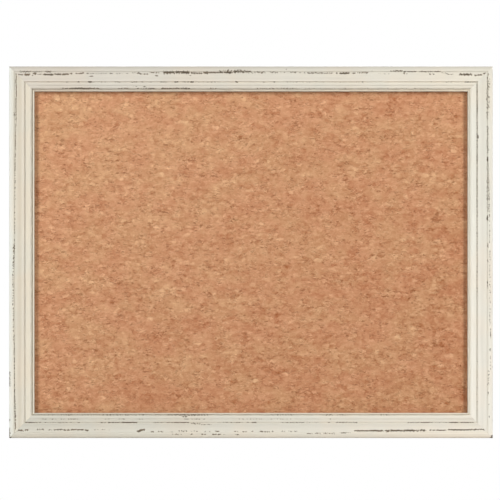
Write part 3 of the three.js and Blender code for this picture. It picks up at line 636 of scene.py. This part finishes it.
def distressed_group():
    """Brushed paint over dark stain: streaks, faint tints, glaze in the hollows, and rubbed marks with ragged
    edges and strokes across them, each in a thin brown smear. A fine crack shows at the mitre. The Paint
    tints and the coat, warmth and glaze attributes also bring in painted light and shade."""
    paint = colour(224, 217, 203)
    inputs = {"Paint": paint, "Far Paint": paint, "Stain": colour(78, 67, 52)}
    tree, given, out = group("DistressedPaint", inputs, "Color", "Roughness", "Height")
    grain = node("UVMap", tree=tree, uv_map="Grain").outputs[0]
    place = node("TexCoord", tree=tree).outputs["Object"]
    worn, glaze, coat, warmth, painted, mitre, far = (
        node("Attribute", tree=tree, attribute_name=key).outputs["Fac"]
        for key in ("worn", "glaze", "coat", "warmth", "painted", "mitre", "far")
    )
    paint = mix(far, given.outputs["Paint"], given.outputs["Far Paint"])
    streaks = noise(grain, (14, 900, 1), 3, 0.6)
    brushing = noise(grain, (22, 330, 1))
    # The coat attribute holds painted light and shade across the section as well as the coat's own tone.
    tone = coat
    for pattern, share in ((streaks, 0.08), (brushing, 0.08), (noise(place, 34), 0.06)):
        tone = scaled(pattern, share, tone)
    tone = math("SUBTRACT", tone, 0.11)
    green, blue = (times(tone, scaled(warmth, -pull, 1)) for pull in (0.065, 0.14))
    toned = mix(1, paint, node("CombineColor", {0: tone, 1: green, 2: blue}).outputs[0], "MULTIPLY")
    tinge = mix(ramp(noise(place, 17), 0.36, 0.64), colour(253, 254, 255), colour(255, 252, 250))
    toned = mix(1, toned, tinge, "MULTIPLY")
    patches = noise(grain, (75, 500, 1), 3)
    kept = math("MULTIPLY", glaze, ramp(patches, 0.22, 0.66), clamp=True)
    glazed = mix(times(kept, 0.55), toned, colour(144, 131, 110))
    ragged = noise(grain, (400, 560, 1), 3, 0.6)
    swing = times(noise(grain, 130), 14)
    strokes = []
    for slant in ((1700, 1000, 0), (1400, -1200, 0)):
        phase = node("VectorMath", {0: grain, 1: slant}, operation="DOT_PRODUCT").outputs["Value"]
        strokes.append(math("SINE", math("ADD", phase, swing)))
    which = ramp(noise(grain, 45, 1), 0.46, 0.54)
    hatching = node("Mix", {0: which, 2: strokes[0], 3: strokes[1]}, data_type="FLOAT").outputs[0]
    torn = scaled(ragged, 3.2, scaled(hatching, 0.35, -1.6))
    torn = times(torn, ramp(worn, 0.04, 0.3))
    torn = times(torn, scaled(worn, -0.75, 1.15))
    gone = ramp(math("ADD", worn, torn), 0.5, 0.64)
    crack = times(ramp(mitre, 0.7 * mm, 0.1 * mm), 0.1)
    gone = math("MAXIMUM", gone, times(crack, painted))
    smear = times(ramp(worn, 0.1, 0.9), times(streaks, 0.6))
    smeared = mix(smear, glazed, colour(168, 152, 122))
    bare = mix(ramp(brushing, 0.35, 0.7), given.outputs["Stain"], colour(114, 97, 77))
    scuffed = mix(times(gone, 0.94), smeared, bare)
    pine = node("Group", tree=tree, node_tree=pine_group()).outputs
    covered = ramp(scaled(ragged, 0.5, painted), 0.55, 0.85)
    relief = math("SUBTRACT", times(streaks, 0.25), gone)
    heights = {0: covered, 2: times(pine["Height"], 0.25), 3: relief}
    put_out(
        out,
        mix(covered, pine["Color"], scuffed),
        scaled(gone, 0.2, scaled(streaks, 0.16, 0.46)),
        node("Mix", heights, data_type="FLOAT").outputs[0],
    )
    return tree


distressed = distressed_group()
sides = (
    ("bottom_rail", (1, 0, 0), (0, 0, -1), half_width, half_height, 11),
    ("top_rail", (1, 0, 0), (0, 0, 1), half_width, half_height, 23),
    ("left_stile", (0, 0, 1), (-1, 0, 0), half_height, half_width, 37),
    ("right_stile", (0, 0, 1), (1, 0, 0), half_height, half_width, 41),
)
for name, along_way, outward_way, half_length, half_across, seed in sides:
    side = moulding_side(name, along_way, outward_way, half_length, half_across, seed)
    paint, tree, shader = material(f"{name}_paint", Specular_IOR_Level=0.35)
    near_tint, far_tint = tints_and_painted_light[name]
    tints = {"Paint": colour(*near_tint), "Far Paint": colour(*far_tint)}
    finish = node("Group", tints, tree, node_tree=distressed)
    apply_finish(shader, finish.outputs, 0.12 * mm, 0.7)
    side.data.materials.append(paint)

# The cork is one sheet of flaked natural cork, bound and pressed so that its flakes lie flat and run
# sideways. It is glued to the fibreboard behind it, and its edges are under the frame's lip.
cork_low, cork_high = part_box("cork_sheet")
cork_step = 1.75 * mm
cork_relief = 0.22 * mm
flake_length = 11 * mm
flake_height = 4.5 * mm
grain_length = 4 * mm
grain_height = 2.2 * mm
pattern_start = 300


def cork_surface():
    """A grid over the sheet, sunk by two sizes of smooth relief, with its rim carried back to a flat back."""
    columns = int((cork_high.x - cork_low.x) / cork_step)
    rows = int((cork_high.z - cork_low.z) / cork_step)
    levels = np.linspace(cork_low.z, cork_high.z, rows)
    x, z = np.meshgrid(np.linspace(cork_low.x, cork_high.x, columns), levels)
    flakes = rough(x / flake_length + pattern_start, z / flake_height + pattern_start, 5)
    grains = rough(x / grain_length + pattern_start, z / grain_height + pattern_start, 6)
    front = cork_low.y + cork_relief * (0.6 * flakes + 0.4 * grains)
    points = np.stack((x, front, z), axis=-1).reshape(-1, 3)
    number = np.arange(rows * columns).reshape(rows, columns)
    quads = np.stack((number[:-1, :-1], number[:-1, 1:], number[1:, 1:], number[1:, :-1]), axis=-1)
    rim = np.concatenate((number[0, :-1], number[:-1, -1], number[-1, :0:-1], number[:0:-1, 0]))
    behind = points[rim]
    behind[:, 1] = cork_high.y
    back = np.arange(len(rim)) + len(points)
    walls = np.stack((rim, back, np.roll(back, -1), np.roll(rim, -1)), axis=1)
    return np.concatenate((points, behind)), [quads.reshape(-1, 4), walls, back[None, ::-1]]


cork_points, cork_faces = cork_surface()
cork = surface("cork_sheet_flaked", cork_points, cork_faces)
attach(cork, "board")
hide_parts("cork_sheet")


def flakes_group():
    """Pressed cork: a fine mottle, flat flakes of their own tone, short dark bark strokes in clusters, pale
    flecks, thin joints, and slow patches. The sheet darkens a little towards its lower right corner, as a
    painted fall-off of the light."""
    tree, _, out = group("PressedCork", {}, "Color", "Height")
    place = node("TexCoord", tree=tree).outputs["Object"]
    drift = node("TexNoise", {"Vector": place, "Scale": 150, "Detail": 3, "Roughness": 0.6}).outputs[1]
    shift = node("VectorMath", {0: drift, 1: (0.5, 0.5, 0.5)}, operation="SUBTRACT").outputs[0]
    bending = {0: shift, 1: (9 * mm, 9 * mm, 6 * mm), 2: place}
    bent = node("VectorMath", bending, operation="MULTIPLY_ADD").outputs[0]
    lying = {"Vector": stretched(bent, (1, 1, 1.7)), "Scale": 125}
    flake = node("SeparateColor", {0: node("TexVoronoi", lying).outputs["Color"]}).outputs
    joints = node("TexVoronoi", lying, feature="DISTANCE_TO_EDGE").outputs[0]
    crowded = ramp(noise(place, 60, 3, 0.6), 0.36, 0.62)
    patches = noise(place, (17, 17, 23), 4, 0.6)
    mottle = noise(bent, (200, 200, 290), 3, 0.66)
    strokes = noise(bent, (200, 200, 620), 3, 0.6)
    flecks = noise(bent, (210, 210, 560), 2, 0.6)
    warm = noise(place, (19, 19, 28), 2, 0.6)
    drifts = noise(bent, (80, 80, 135))
    busy = scaled(crowded, 0.6, 0.4)
    pale = times(ramp(flake[1], 0.9, 0.94), ramp(joints, 0.0, 0.3))
    # Painted fall-off of the light: the cork is darker towards its lower right corner.
    light_falloff_place = node("SeparateXYZ", {0: place}).outputs
    tone = scaled(light_falloff_place["Z"], 0.14, scaled(light_falloff_place["X"], -0.13, 0.505))
    for pattern, share in ((drifts, 0.38), (mottle, busy), (flake[0], 0.14), (patches, 0.22)):
        tone = scaled(math("SUBTRACT", pattern, 0.5), share, tone)
    tone = scaled(pale, 0.16, tone)
    tone = scaled(ramp(flecks, 0.6, 0.74), 0.24, tone)
    bark = times(ramp(strokes, 0.53, 0.68), scaled(crowded, 0.65, 0.1))
    joint = times(ramp(joints, 0.08, 0.0), crowded)
    lines = math("MAXIMUM", bark, times(joint, 0.3))
    specks = node("TexVoronoi", {"Vector": stretched(bent, (1, 1, 2.4)), "Scale": 150}).outputs
    rare = ramp(node("SeparateColor", {0: specks["Color"]}).outputs[2], 0.94, 0.97)
    near = ramp(specks["Distance"], 0.5, 0.2)
    lines = math("MAXIMUM", lines, times(times(rare, near), 0.6))
    base = mix(math("ADD", tone, 0, clamp=True), colour(151, 72, 20), colour(235, 189, 147))
    base = mix(times(lines, 0.9), base, colour(116, 62, 26))
    redder = scaled(warm, -0.5, math("ADD", patches, 0.25))
    hue = mix(ramp(redder, 0.62, 0.38), colour(253, 255, 252), colour(255, 250, 250))
    raised = scaled(flake[2], 0.3, times(mottle, 0.7))
    put_out(out, mix(1, base, hue, "MULTIPLY"), math("SUBTRACT", raised, lines))
    return tree


cork_finish, tree, shader = material("pressed_cork", Roughness=0.92, Specular_IOR_Level=0.15)
apply_finish(shader, node("Group", tree=tree, node_tree=flakes_group()).outputs, 0.3 * mm, 0.6)
cork.data.materials.append(cork_finish)

# The panel behind the cork is a soft fibreboard, pressed wet on a wire screen that leaves its weave in the
# back. It lies loose in the rabbet, held by the framer's points.
fibre_finish, tree, shader = material("soft_fibreboard", Roughness=0.95, Specular_IOR_Level=0.1)
place = node("TexCoord", tree=tree).outputs["Object"]
threads = noise(place, (420, 420, 900), 4, 0.7, 1.2)
crossing = noise(place, (900, 420, 380), 4, 0.7, 1.2)
ground = mix(noise(place, 19, 3), colour(164, 128, 88), colour(146, 109, 72))
layers = ((threads, 0.52, 0.66, (190, 156, 114)), (crossing, 0.56, 0.7, (112, 80, 52)))
for fibres, low, high, tint in layers:
    ground = mix(times(ramp(fibres, low, high), 0.5), ground, colour(*tint))
screen = node("SeparateXYZ", {0: place}).outputs
warp, weft = (math("SINE", times(screen[axis], 3000)) for axis in "XZ")
weave = times(times(warp, weft), 0.35)
apply_finish(shader, {"Color": ground, "Height": math("ADD", weave, threads)}, 0.25 * mm, 0.8)
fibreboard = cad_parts["fibreboard_back"]
fibreboard.data.materials.clear()
fibreboard.data.materials.append(fibre_finish)


# The V nails are folded strips of hardened steel, two to a mitre, pressed in flush from the back.
# The framer's points are thin tabs punched from blued strip, driven into the rabbet's wall over the panel.
def steel_group():
    """Worn metal: a mottled colour, with fine scratches that are brighter and smoother than the rest."""
    inputs = {"Pale": colour(200, 203, 205), "Dark": colour(150, 153, 156), "Size": 400, "Shine": 0.32}
    tree, given, out = group("WornMetal", inputs, "Color", "Roughness", "Height")
    place = node("TexCoord", tree=tree).outputs["Object"]
    clouds = noise(place, given.outputs["Size"], 3, 0.6)
    scratches = noise(place, (3000, 900, 260), 2, 0.6, 0.8)
    toned = mix(ramp(clouds, 0.35, 0.65), given.outputs["Pale"], given.outputs["Dark"])
    scratched = times(ramp(scratches, 0.62, 0.72), 0.35)
    rougher = scaled(clouds, 0.2, given.outputs["Shine"])
    put_out(
        out,
        mix(scratched, toned, given.outputs["Pale"]),
        math("SUBTRACT", rougher, times(scratched, 0.3)),
        math("SUBTRACT", times(clouds, 0.4), scratched),
    )
    return tree


def metal(name, pale, dark, size, shine):
    """A metal with the worn-metal pattern at its own colours, pattern size and least roughness."""
    made, tree, shader = material(name, Metallic=1.0)
    inputs = {"Pale": colour(*pale), "Dark": colour(*dark), "Size": size, "Shine": shine}
    apply_finish(shader, node("Group", inputs, tree, node_tree=worn_metal).outputs, 0.05 * mm, 0.5)
    return made


worn_metal = steel_group()
nail_finish = metal("bright_nail_steel", (188, 188, 186), (142, 142, 140), 700, 0.3)
point_finish = metal("blued_point_steel", (134, 136, 140), (92, 94, 99), 260, 0.36)
for name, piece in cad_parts.items():
    if "_v_nail_" in name or "_point_" in name:
        piece.data.materials.clear()
        piece.data.materials.append(nail_finish if "_v_nail_" in name else point_finish)

# Each hanger is a strip of zinc-plated steel folded over the straight bar of a D-ring, both layers held flat
# to the stile by one screw. The two ends of the strip are rounded together.
zinc = metal("zinc_plate", (182, 185, 186), (142, 146, 149), 330, 0.3)
strap_width = 10 * mm
strap_length = 26 * mm
strip_thickness = 0.8 * mm
wire_radius = 1.2 * mm
bar_clearance = 0.25 * mm
loop_outer = wire_radius + bar_clearance + strip_thickness
loop_middle = loop_outer - strip_thickness / 2
hanger_x = half_width - back_width / 2
hanger_z = half_height - 92 * mm
tail_turn = -50
tail_fall = 1.2 * mm
tail_stretch = 2.6
end_margin = 0.02 * mm
layer_gap = 0.03 * mm
strip_corner = 0.22 * mm


def around(centre, radius, start, end, count):
    """Points on an arc, from the start angle to the end angle in degrees, the end left out."""
    angle = np.radians(np.linspace(start, end, count, endpoint=False))
    return np.array(centre) + radius * np.stack((np.cos(angle), np.sin(angle)), axis=1)


def folded_strip(name, x):
    """The strip: a rounded slab across a middle line that goes up the wood, round the bar and down again."""
    inner = strip_thickness / 2
    outer = 1.5 * strip_thickness + layer_gap
    end = end_margin - strap_length
    tail = around((loop_outer, 0), loop_middle, tail_turn, tail_turn, 1)[0]
    path = np.concatenate((
        straight((inner, end), (inner, 0), 40),
        around((loop_outer, 0), loop_middle, 180, tail_turn, 40),
        bend(tail, (outer, tail[1] - tail_fall), (outer, tail_stretch * tail[1]), 10),
        straight((outer, tail_stretch * tail[1]), (outer, end), 40),
        [(outer, end)],
    ))
    tangent = unit(np.gradient(path, axis=0))
    lift = np.stack((-tangent[:, 1], tangent[:, 0]), axis=1)
    half = strap_width / 2
    below = np.clip((half - strap_length) - path[:, 1], 0, half * 0.9999)
    reach = np.sqrt(half**2 - below**2)[:, None]
    angle = np.radians(np.arange(0, 360, 15) + 7.5)
    round_in = np.minimum(strip_corner, 0.5 * reach)
    side = np.sign(np.cos(angle)) * (reach - round_in) + strip_corner * np.cos(angle)
    thick = np.sign(np.sin(angle)) * (strip_thickness / 2 - strip_corner) + strip_corner * np.sin(angle)
    points = np.stack((
        x + side,
        frame_back + path[:, :1] + lift[:, :1] * thick,
        hanger_z + path[:, 1:] + lift[:, 1:] * thick,
    ), axis=-1).reshape(-1, 3)
    made = surface(name, points, outward(points, capped(len(path), len(angle))))
    made.data.materials.append(zinc)
    return made


for side_name, way in (("left", -1), ("right", 1)):
    strap = folded_strip(f"{side_name}_strap_strip", way * hanger_x)
    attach(strap, "board")
    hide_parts(f"{side_name}_hanger_strap")

# Each D-ring is a closed ring of 2.4 mm plated wire: a straight bar that turns in the strap, and a round bow.
# At rest its bow leans on the back of the frame.
bar_half = 6.5 * mm
ring_corner = 2.5 * mm
ring_side = 1.5 * mm
ring_half = bar_half + ring_corner
bow_height = ring_corner + ring_side
wood_gap = 0.15 * mm
ring_lean = np.arcsin((loop_outer - wire_radius - wood_gap) / (bow_height + ring_half))


def wire_ring(name, x):
    """The wire: a circle carried round the closed line of the D, then leaned about its bar."""
    line = np.concatenate((
        straight((-bar_half, 0), (bar_half, 0), 24),
        around((bar_half, ring_corner), ring_corner, -90, 0, 14),
        straight((ring_half, ring_corner), (ring_half, bow_height), 3),
        around((0, bow_height), ring_half, 0, 180, 72),
        straight((-ring_half, bow_height), (-ring_half, ring_corner), 3),
        around((-bar_half, ring_corner), ring_corner, 180, 270, 14),
    ))
    tangent = unit(np.roll(line, -1, axis=0) - np.roll(line, 1, axis=0))
    angle = np.linspace(0, 2 * np.pi, 28, endpoint=False)
    level = wire_radius * np.cos(angle)
    sideways = line[:, :1] + tangent[:, 1:] * level
    upwards = line[:, 1:] - tangent[:, :1] * level
    backwards = wire_radius * np.sin(angle) + 0 * upwards
    points = np.stack((
        x + sideways,
        frame_back + loop_outer + backwards * np.cos(ring_lean) - upwards * np.sin(ring_lean),
        hanger_z + upwards * np.cos(ring_lean) + backwards * np.sin(ring_lean),
    ), axis=-1).reshape(-1, 3)
    faces = tube_faces(len(line), len(angle), close_rows=True)
    made = surface(name, points, outward(points, [faces]))
    made.data.materials.append(zinc)
    return made


for side_name, way in (("left", -1), ("right", 1)):
    ring = wire_ring(f"{side_name}_wire_ring", way * hanger_x)
    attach(ring, f"{side_name}_ring")
    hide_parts(f"{side_name}_d_ring")

# One pan-head wood screw, of zinc-plated steel, holds each strap to its stile. Its head is upset from the
# wire, with a cross recess that narrows inwards.
screw_z = hanger_z - 20 * mm
head_radius = 3.5 * mm
head_rim = 0.9 * mm
head_height = 2.3 * mm
head_ease = 0.2 * mm
shank_radius = 1.75 * mm
shank_length = 12 * mm
shank_tip = 3 * mm
recess_half = 1.8 * mm
recess_width = 0.85 * mm
recess_depth = 1.4 * mm


def turned(name, x, y, z, side_line, turns, dent=None):
    """A turned piece: a line of radius and height behind y, carried round the y axis. Its first and last
    radii are zero and close as poles. dent gives how far a point behind sinks, from its place across."""
    angle = np.linspace(0, 2 * np.pi, turns, endpoint=False)
    radius, height = side_line[1:-1, :1], side_line[1:-1, 1:]
    across, up = radius * np.cos(angle), radius * np.sin(angle)
    back = height + 0 * across
    middle_sink = 0
    if dent is not None:
        back = back - dent(across, up) * (height > 0.5 * side_line[:, 1].max())
        middle_sink = dent(np.zeros(1), np.zeros(1))[0]
    ring = np.stack((x + across, y + back, z + up), axis=-1).reshape(-1, 3)
    poles = np.array(((x, y + side_line[0, 1], z), (x, y + side_line[-1, 1] - middle_sink, z)))
    points = np.concatenate((ring, poles))
    step = np.arange(turns)
    following = (step + 1) % turns
    last_row = len(ring) - turns
    start = np.stack((0 * step + len(ring), following, step), axis=1)
    end = np.stack((0 * step + len(ring) + 1, step + last_row, following + last_row), axis=1)
    return surface(name, points, outward(points, [tube_faces(len(radius), turns), start, end]))


def cross_recess(turn):
    """How far the head sinks at a place: a cross of two tapered slots, deepest in the middle."""
    def sunk(across, up):
        along_slot = np.abs(across * np.cos(turn) + up * np.sin(turn))
        along_other = np.abs(up * np.cos(turn) - across * np.sin(turn))
        narrow, wide = np.minimum(along_slot, along_other), np.maximum(along_slot, along_other)
        slot = smoothed(-narrow, -0.62 * recess_width, -0.38 * recess_width)
        reach = smoothed(-wide, -1.1 * recess_half, -0.7 * recess_half)
        return recess_depth * slot * reach * (1 - 0.3 * wide / recess_half)
    return sunk


seat = 2 * strip_thickness + layer_gap
crown = seat + head_height - layer_gap
screw_line = outline(
    (0, seat - shank_length),
    (8, (shank_radius, seat - shank_length + shank_tip)),
    (3, (shank_radius, seat)),
    (3, (head_radius - head_ease, seat)),
    (3, (head_radius, seat), (head_radius, seat + head_ease)),
    (2, (head_radius, seat + head_rim)),
    (46, (head_radius, crown), (0, crown)),
    (1, (0, crown)),
)
for side_name, way, turn in (("left", -1, 0.4), ("right", 1, 1.15)):
    x = way * hanger_x
    screw = turned(f"{side_name}_pan_screw", x, frame_back, screw_z, screw_line, 112, cross_recess(turn))
    screw.data.materials.append(zinc)
    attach(screw, "board")
    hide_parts(f"{side_name}_hanger_screw")

# The bumpers are moulded rubber feet, stuck to the lower corners to keep the frame off the wall.
# Each is a low tapered drum with a rounded rim and a slightly dished face.
bumper_radius = 6.35 * mm
bumper_height = 5.5 * mm
bumper_taper = 0.5 * mm
bumper_round = 1.4 * mm
bumper_dish = 0.25 * mm
bumper_ease = 0.15 * mm
bumper_z = 34 * mm - half_height
face_radius = bumper_radius - bumper_taper
bumper_line = outline(
    (0, 0),
    (4, (bumper_radius - bumper_ease, 0)),
    (3, (bumper_radius, 0), (bumper_radius, bumper_ease)),
    (6, (face_radius, bumper_height - bumper_round)),
    (10, (face_radius, bumper_height), (face_radius - bumper_round, bumper_height)),
    (12, (face_radius - 2.2 * bumper_round, bumper_height), (0.3 * mm, bumper_height - bumper_dish)),
    (0, (0, bumper_height - bumper_dish)),
    (1, (0, bumper_height - bumper_dish)),
)
rubber, tree, shader = material("moulded_rubber", Specular_IOR_Level=0.4)
place = node("TexCoord", tree=tree).outputs["Object"]
dust = noise(place, 320, 4, 0.65)
dusty = times(ramp(dust, 0.5, 0.75), 0.35)
outputs = {
    "Color": mix(dusty, colour(38, 38, 40), colour(104, 101, 96)),
    "Roughness": scaled(dust, 0.3, 0.5),
    "Height": noise(place, 2600, 3, 0.6),
}
apply_finish(shader, outputs, 0.05 * mm, 0.5)
for side_name, way in (("left", -1), ("right", 1)):
    bumper = turned(f"{side_name}_rubber_foot", way * hanger_x, frame_back, bumper_z, bumper_line, 72)
    bumper.data.materials.append(rubber)
    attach(bumper, "board")
    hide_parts(f"{side_name}_bumper")

# The board hangs clear of a plain pale floor, lit by two tall softboxes in front of it, one on each side.
# The surroundings are white to the eye, to metal and to glass, and a weak grey to everything else.
def seen_plainly(tree):
    """1 for rays that come straight from the camera, off a gloss or through glass, and 0 for the rest."""
    path = node("LightPath", tree=tree).outputs
    indirect = math("MAXIMUM", path["Is Glossy Ray"], path["Is Transmission Ray"])
    return math("MAXIMUM", path["Is Camera Ray"], indirect)


floor_z = -half_height - 0.9
floor_half = 2.6
floor_mesh = bpy.data.meshes.new("studio_floor")
floor_corners = [(x * floor_half, y * floor_half, floor_z) for x, y in ((-1, -1), (1, -1), (1, 1), (-1, 1))]
floor_mesh.from_pydata(floor_corners, [], [(0, 1, 2, 3)])
floor = placed("studio_floor", floor_mesh)
floor_finish = bpy.data.materials.new("studio_paper")
floor_finish.use_nodes = True
tree = floor_finish.node_tree
tree.nodes.clear()
paper = node("BsdfDiffuse", {"Color": colour(232, 232, 232)}, tree)
bright = node("Emission", {"Color": (1, 1, 1, 1), "Strength": 1}, tree)
blend = node("MixShader", {0: times(seen_plainly(tree), 0.7), 1: paper.outputs[0], 2: bright.outputs[0]})
tree.links.new(blend.outputs[0], tree.nodes.new("ShaderNodeOutputMaterial").inputs[0])
floor_mesh.materials.append(floor_finish)

fill_strength = 0.04
world = bpy.data.worlds.new("studio")
bpy.context.scene.world = world
world.use_nodes = True
tree = world.node_tree
tree.nodes.clear()
strength = scaled(seen_plainly(tree), 1 - fill_strength, fill_strength)
background = node("Background", {"Color": (1, 1, 1, 1), "Strength": strength})
tree.links.new(background.outputs[0], tree.nodes.new("ShaderNodeOutputWorld").inputs[0])


def softbox(name, width, height, power, location, rotation):
    """A rectangular softbox that shines along its own -z."""
    lamp = bpy.data.lights.new(name, "AREA")
    lamp.shape = "RECTANGLE"
    lamp.size, lamp.size_y, lamp.energy = width, height, power
    hung = placed(name, lamp)
    hung.location, hung.rotation_euler = location, rotation


softbox_distance = 2.4
softbox_angle = np.radians(51)
softbox_z = 0.9
for way in (-1, 1):
    aside, before = way * softbox_distance * np.sin(softbox_angle), softbox_distance * np.cos(softbox_angle)
    tilt = np.pi / 2 - np.arctan(softbox_z / softbox_distance)
    softbox("softbox", 0.75, 1.9, 50, (aside, -before, softbox_z), (tilt, 0, way * softbox_angle))
# A third, square softbox behind lights the back at about the same level. It doesn't reach the front.
softbox("back_softbox", 1.8, 1.8, 64, (0.6, 2.4, 1.0), (-1.18, 0, -0.24))

# The camera looks square at the board through a long lens, a little above and to the left of its middle.
# It sees view_width at camera_distance, which is view_depth behind the front of the frame.
camera_distance = 3.0
camera_x = -1.3 * mm
camera_z = 3.1 * mm
view_depth = 3.5 * mm
view_width = 0.6811
camera = bpy.data.cameras.new("camera")
camera.sensor_width = 36
camera.lens = camera.sensor_width * camera_distance / view_width
camera_object = placed("camera", camera)
camera_object.location = (camera_x, frame_back - depth + view_depth - camera_distance, camera_z)
camera_object.rotation_euler = (np.pi / 2, 0, 0)
bpy.context.scene.camera = camera_object
bpy.context.scene.view_settings.view_transform = "Standard"
